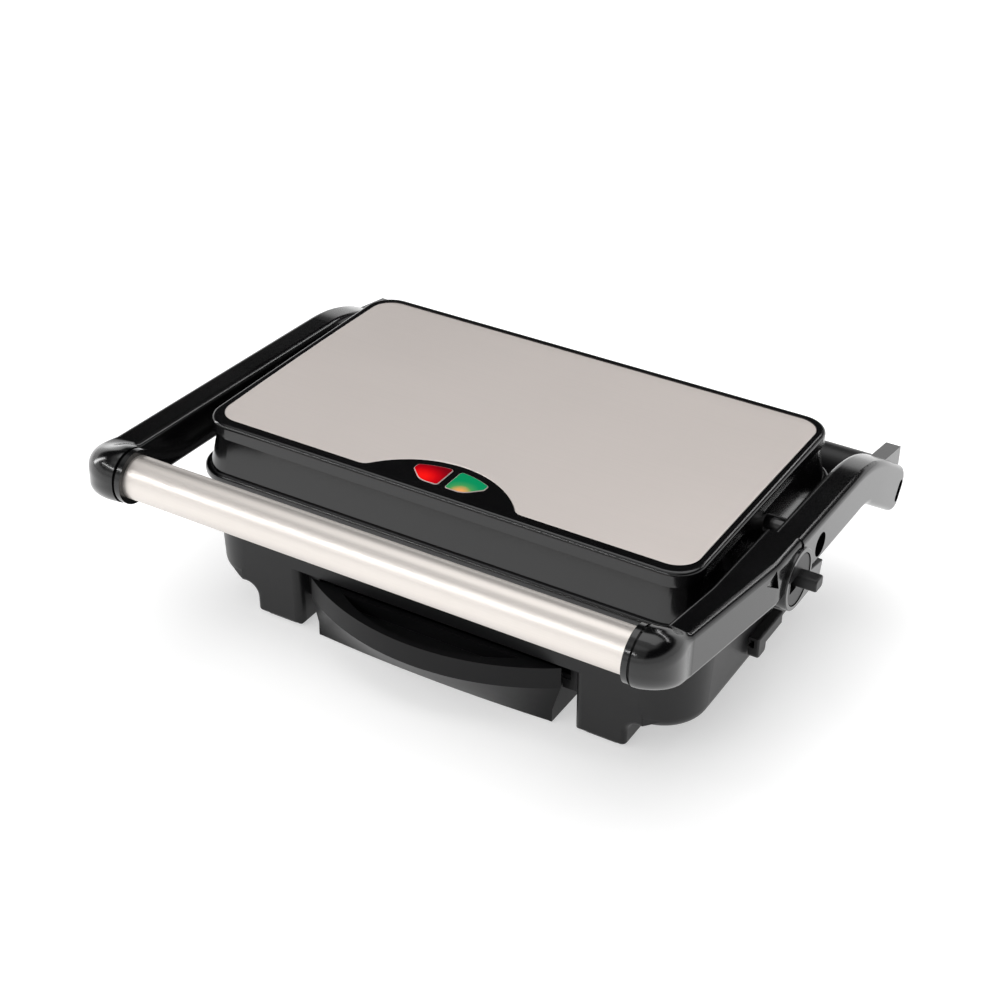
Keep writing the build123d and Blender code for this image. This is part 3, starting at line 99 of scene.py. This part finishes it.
class Socket:
    """An output of a node tree. Sums and products of sockets add their own Math nodes."""

    def __init__(self, tree, out=None):
        self.tree = tree
        self.out = out

    def node(self, kind, settings=(), inputs=(), out=0):
        """Add a node: its settings first, then the values or links of its inputs."""
        made = self.tree.nodes.new(kind)
        for key, value in dict(settings).items():
            if key == "stops":
                ramp = made.color_ramp
                while len(ramp.elements) < len(value):
                    ramp.elements.new(0.5)
                for element, (place, colour) in zip(ramp.elements, value):
                    element.position = place
                    element.color = (*colour, 1.0)
            else:
                setattr(made, key, value)
        for key, value in dict(inputs).items():
            if isinstance(value, Socket):
                self.tree.links.new(value.out, made.inputs[key])
            else:
                made.inputs[key].default_value = value
        return Socket(self.tree, made.outputs[out])

    def __add__(self, other):
        return self.node("ShaderNodeMath", {"operation": "ADD"}, {0: self, 1: other})

    def __mul__(self, other):
        return self.node("ShaderNodeMath", {"operation": "MULTIPLY"}, {0: self, 1: other})

    __radd__ = __add__
    __rmul__ = __mul__

    def vector(self, operation, other):
        """Vector Math of this vector and another."""
        return self.node("ShaderNodeVectorMath", {"operation": operation}, {0: self, 1: other})

    def length(self):
        """Length of this vector."""
        return self.node("ShaderNodeVectorMath", {"operation": "LENGTH"}, {0: self}, "Value")

    def eased(self, start, end, low=0.0, high=1.0):
        """From low to high as this value goes from start to end, with soft ends."""
        return self.node(
            "ShaderNodeMapRange",
            {"interpolation_type": "SMOOTHSTEP"},
            {0: self, 1: start, 2: end, 3: low, 4: high},
        )

    def noise(self, scale, detail, stretch=(1.0, 1.0, 1.0)):
        """Noise over this position, drawn out along the axes with a small stretch."""
        placed = self.node("ShaderNodeMapping", inputs={"Vector": self, "Scale": stretch})
        return self.node(
            "ShaderNodeTexNoise", inputs={"Vector": placed, "Scale": scale, "Detail": detail}
        )

    def between(self, low, high):
        """Two colours mixed by this value."""
        return self.node(
            "ShaderNodeMix",
            {"data_type": "RGBA"},
            {"Factor": self, 6: (*low, 1.0), 7: (*high, 1.0)},
            out=2,
        )

    def bump(self, strength, distance):
        """Normal raised by this height."""
        return self.node(
            "ShaderNodeBump",
            inputs={"Strength": strength, "Distance": distance, "Height": self},
            out="Normal",
        )


def finish(name, looks, **fixed):
    """A Principled material: looks gives what varies over the Object position, fixed the rest."""
    made = bpy.data.materials.new(name)
    made.use_nodes = True
    tree = made.node_tree
    tree.nodes.clear()
    output = tree.nodes.new("ShaderNodeOutputMaterial")
    shader = tree.nodes.new("ShaderNodeBsdfPrincipled")
    tree.links.new(shader.outputs["BSDF"], output.inputs["Surface"])
    for key, value in fixed.items():
        shader.inputs[key.replace("_", " ")].default_value = value
    place = Socket(tree).node("ShaderNodeTexCoord", out="Object")
    for key, value in looks(place).items():
        tree.links.new(value.out, shader.inputs[key])
    return made


def clouded_looks(low, high, rough, change, scale, grain=None):
    """Tone and gloss that change slowly over the surface, with a fine grain where one is given."""

    def looks(place):
        cloud = place.noise(scale, CLOUD_DETAIL)
        given = {"Base Color": cloud.between(low, high), "Roughness": cloud * change + rough}
        if grain:
            fineness, strength = grain
            given["Normal"] = place.noise(fineness, GRAIN_DETAIL).bump(strength, GRAIN_HEIGHT)
        return given

    return looks


def brushed_looks(low, high, rough, stretch, depth):
    """Fine lines along X, with a slow change of tone."""

    def looks(place):
        streaks = place.noise(1.0, CLOUD_DETAIL, stretch)
        clouds = place.noise(9.0, GRAIN_DETAIL)
        return {
            "Base Color": (streaks * 0.7 + clouds * 0.3).between(low, high),
            "Roughness": streaks * 0.14 + clouds * 0.04 + rough,
            "Normal": streaks.bump(depth, BRUSH_HEIGHT),
        }

    return looks


def lens_looks(shade, body, hot, centre, reach):
    """Clear plastic of one colour, lit from below by its lamp."""

    def looks(place):
        far = place.vector("SUBTRACT", centre).vector("MULTIPLY", reach).length()
        light = far.eased(1.0, 0.0)
        grain = place.noise(700.0, GRAIN_DETAIL)
        glow = place.node(
            "ShaderNodeValToRGB",
            {"stops": [(0.0, shade), (0.45, body), (1.0, hot)]},
            {"Fac": light * (0.9 + grain * 0.2)},
        )
        return {
            "Base Color": light.between(shade, body),
            "Emission Color": glow,
            "Roughness": grain * 0.10 + 0.06,
        }

    return looks


def satin_black(name, gloss):
    """Black moulding with a fine grain."""
    looks = clouded_looks(
        low=(0.004, 0.004, 0.0045),
        high=(0.007, 0.007, 0.0075),
        rough=0.33,
        change=0.10,
        scale=26.0,
        grain=SATIN_GRAIN,
    )
    return finish(name, looks, Specular_IOR_Level=gloss)


def bare_metal(name, low, high, rough):
    """Metal with faint stains."""
    looks = clouded_looks(low, high, rough, change=0.15, scale=60.0)
    return finish(name, looks, Metallic=1.0)


def plain(name, low, high, rough, scale=40.0, **fixed):
    """Coated, rubber or moulded surface with a fine grain."""
    looks = clouded_looks(low, high, rough, change=0.12, scale=scale, grain=PLAIN_GRAIN)
    return finish(name, looks, **fixed)


rubber = plain("rubber", low=(0.014, 0.014, 0.014), high=(0.024, 0.024, 0.024), rough=0.7)
finishes = {
    "gloss_black": finish(
        "gloss_black",
        clouded_looks(
            low=(0.0012, 0.0012, 0.0015),
            high=(0.0026, 0.0026, 0.003),
            rough=0.14,
            change=0.08,
            scale=34.0,
        ),
        Specular_IOR_Level=0.42,
        Coat_Weight=0.3,
        Coat_Roughness=0.12,
    ),
    "satin_black": satin_black("satin_black", gloss=0.36),
    "brushed_panel": finish(
        "panel_steel",
        brushed_looks(
            low=(0.74, 0.685, 0.655),
            high=(0.84, 0.78, 0.745),
            rough=0.48,
            stretch=(14.0, 3200.0, 3200.0),
            depth=0.25,
        ),
        Metallic=1.0,
    ),
    "brushed_tube": finish(
        "tube_steel",
        brushed_looks(
            low=(0.64, 0.60, 0.565),
            high=(0.76, 0.715, 0.675),
            rough=0.32,
            stretch=(14.0, 3000.0, 3000.0),
            depth=0.3,
        ),
        Metallic=1.0,
    ),
    "coated_plate": plain(
        "coated_plate",
        low=(0.012, 0.012, 0.012),
        high=(0.022, 0.022, 0.023),
        rough=0.38,
        scale=900.0,
    ),
    "element_sheath": bare_metal(
        "element_sheath", low=(0.12, 0.11, 0.10), high=(0.24, 0.22, 0.20), rough=0.4
    ),
    "sheet_aluminium": bare_metal(
        "sheet_aluminium", low=(0.66, 0.66, 0.67), high=(0.78, 0.78, 0.79), rough=0.25
    ),
    "plain_steel": bare_metal(
        "plain_steel", low=(0.45, 0.45, 0.46), high=(0.60, 0.60, 0.61), rough=0.28
    ),
    "bush_brass": bare_metal(
        "bush_brass", low=(0.48, 0.36, 0.16), high=(0.60, 0.46, 0.22), rough=0.3
    ),
    "foot_rubber": rubber,
    "gland_rubber": rubber,
    "pale_insulator": plain(
        "pale_insulator", low=(0.62, 0.60, 0.54), high=(0.74, 0.71, 0.65), rough=0.5
    ),
    "red_lens": finish(
        "red_glow",
        lens_looks(
            shade=(0.13, 0.0008, 0.004),
            body=(0.44, 0.001, 0.004),
            hot=(0.80, 0.010, 0.005),
            centre=(-0.0110, -0.0565, 0.1),
            reach=(75.0, 90.0, 0.0),
        ),
        Specular_IOR_Level=0.2,
        Emission_Strength=0.75,
    ),
    "green_lens": finish(
        "green_glow",
        lens_looks(
            shade=(0.002, 0.16, 0.062),
            body=(0.05, 0.20, 0.055),
            hot=(1.0, 0.24, 0.08),
            centre=(0.0095, -0.0590, 0.1),
            reach=(105.0, 105.0, 0.0),
        ),
        Specular_IOR_Level=0.2,
        Emission_Strength=0.85,
    ),
    "lamp_glass": plain(
        "lamp_glass", low=(0.80, 0.72, 0.62), high=(0.90, 0.84, 0.76), rough=0.1
    ),
}
# Pale finish for the lens caps' rounded edges: a painted highlight along their rims
lens_rim_highlight = plain(
    "lens_rim_highlight",
    low=(0.40, 0.32, 0.31),
    high=(0.56, 0.46, 0.44),
    rough=0.2,
    Specular_IOR_Level=0.3,
)

for subpart in frame["record"]["subparts"]:
    node = nodes[subpart["node"]]
    node.data.materials.clear()
    node.data.materials.append(finishes[subpart["material_slot"]])
# The tray's front is duller than the base around it: a copy of the satin black with less gloss,
# painted shade under the handle tube
nodes["drip_tray"].data.materials[0] = satin_black("tray_painted_shade", gloss=0.2)


def edged_copy(name, node_name, body, width, slot, rim):
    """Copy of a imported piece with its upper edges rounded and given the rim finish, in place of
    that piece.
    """
    shape = bmesh.new()
    shape.from_mesh(nodes[node_name].data)
    bmesh.ops.remove_doubles(shape, verts=shape.verts, dist=WELD)
    bmesh.ops.dissolve_limit(
        shape, angle_limit=FLAT_ANGLE, verts=shape.verts[:], edges=shape.edges[:]
    )
    shape.normal_update()
    top = max(vert.co.z for vert in shape.verts)
    edges = [
        edge
        for edge in shape.edges
        if len(edge.link_faces) == 2
        and min(vert.co.z for vert in edge.verts) > top - RIM_ZONE
        and max(face.normal.z for face in edge.link_faces) > TOP_FACING
        and min(abs(face.normal.z) for face in edge.link_faces) < SIDE_FACING
    ]
    made = bmesh.ops.bevel(
        shape,
        geom=edges,
        offset=width,
        affect="EDGES",
        segments=RIM_SEGMENTS,
        profile=0.5,
        material=-1,
    )
    # The rounded edges take the rim finish, a pale painted highlight
    for face in made["faces"]:
        face.material_index = 1
        face.smooth = True
    mesh = bpy.data.meshes.new(name)
    shape.to_mesh(mesh)
    shape.free()
    piece = bpy.data.objects.new(name, mesh)
    bpy.context.scene.collection.objects.link(piece)
    mesh.materials.append(finishes[slot])
    mesh.materials.append(rim)
    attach(piece, body)
    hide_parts(node_name)


edged_copy("red_lens_cap", "red_lens", "lid", RIM_WIDTH, "red_lens", lens_rim_highlight)
edged_copy("green_lens_cap", "green_lens", "lid", RIM_WIDTH, "green_lens", lens_rim_highlight)

# Floor, with a glow of its own that keeps the paper white away from the press and is weaker near
# it as painted shadow
floor_mesh = bpy.data.meshes.new("floor")
shape = bmesh.new()
bmesh.ops.create_grid(shape, x_segments=1, y_segments=1, size=FLOOR_HALF)
shape.to_mesh(floor_mesh)
shape.free()
floor = bpy.data.objects.new("floor", floor_mesh)
bpy.context.scene.collection.objects.link(floor)
paper = bpy.data.materials.new("paper")
paper.use_nodes = True
tree = paper.node_tree
tree.nodes.clear()
start = Socket(tree)
output = tree.nodes.new("ShaderNodeOutputMaterial")
paper_colour = (PAPER_GREY, PAPER_GREY, PAPER_GREY, 1.0)
lit = start.node("ShaderNodeBsdfDiffuse", inputs={"Color": paper_colour})
spot = start.node("ShaderNodeTexCoord", out="Object")
aside = start.node("ShaderNodeVectorMath", {"operation": "ABSOLUTE"}, {0: spot})
beyond = aside.vector("SUBTRACT", PRESS_HALF).vector("MAXIMUM", (0.0, 0.0, 0.0)).length()
# The glow is weaker within reach of the press: painted shadow on the floor
glow_with_painted_shadow = beyond.eased(0.0, PAINTED_SHADOW_REACH, PAINTED_SHADOW_GLOW, GLOW_OPEN)
tint = start.node("ShaderNodeCombineColor", inputs={0: glow_with_painted_shadow, 1: glow_with_painted_shadow, 2: glow_with_painted_shadow})
glow = start.node("ShaderNodeEmission", inputs={"Color": tint, "Strength": 1.0})
both = start.node("ShaderNodeAddShader", inputs={0: lit, 1: glow})
tree.links.new(both.out, output.inputs["Surface"])
floor.data.materials.append(paper)

# Room: a white horizon, a dark band above it that keeps the black gloss dark, and a pale ceiling
world = bpy.data.worlds.new("studio")
bpy.context.scene.world = world
world.use_nodes = True
tree = world.node_tree
tree.nodes.clear()
start = Socket(tree)
output = tree.nodes.new("ShaderNodeOutputWorld")
aim = start.node("ShaderNodeTexCoord", out="Generated")
height = start.node("ShaderNodeSeparateXYZ", inputs={"Vector": aim}, out="Z")
room = start.node(
    "ShaderNodeValToRGB",
    {"stops": [(level, (grey, grey, grey)) for level, grey in ROOM]},
    {"Fac": height},
)
shell = start.node("ShaderNodeBackground", inputs={"Color": room, "Strength": 1.0})
tree.links.new(shell.out, output.inputs["Surface"])

# Lamps, all turned to the middle of the press
for name, place, size, power in LAMPS:
    lamp = bpy.data.lights.new(name, "AREA")
    lamp.shape = "RECTANGLE"
    lamp.size, lamp.size_y = size
    lamp.energy = power
    stand = bpy.data.objects.new(name, lamp)
    stand.location = place
    stand.visible_camera = False
    stand.rotation_euler = (LAMP_AIM - Vector(place)).to_track_quat("-Z", "Y").to_euler()
    bpy.context.scene.collection.objects.link(stand)

# Camera, at the photograph's angle
back = Vector(
    (
        math.sin(AZIMUTH) * math.cos(ELEVATION),
        -math.cos(AZIMUTH) * math.cos(ELEVATION),
        math.sin(ELEVATION),
    )
)
level = Vector((math.cos(AZIMUTH), math.sin(AZIMUTH), 0.0))
rise = back.cross(level)
right = level * math.cos(ROLL) + rise * math.sin(ROLL)
up = rise * math.cos(ROLL) - level * math.sin(ROLL)
lens = bpy.data.cameras.new("camera")
lens.lens = FOCAL_LENGTH
camera = bpy.data.objects.new("camera", lens)
turn = Matrix((right, up, back)).transposed().to_4x4()
camera.matrix_world = Matrix.Translation(TARGET + back * DISTANCE * MM) @ turn
bpy.context.scene.collection.objects.link(camera)
bpy.context.scene.camera = camera
bpy.context.scene.view_settings.view_transform = "Standard"
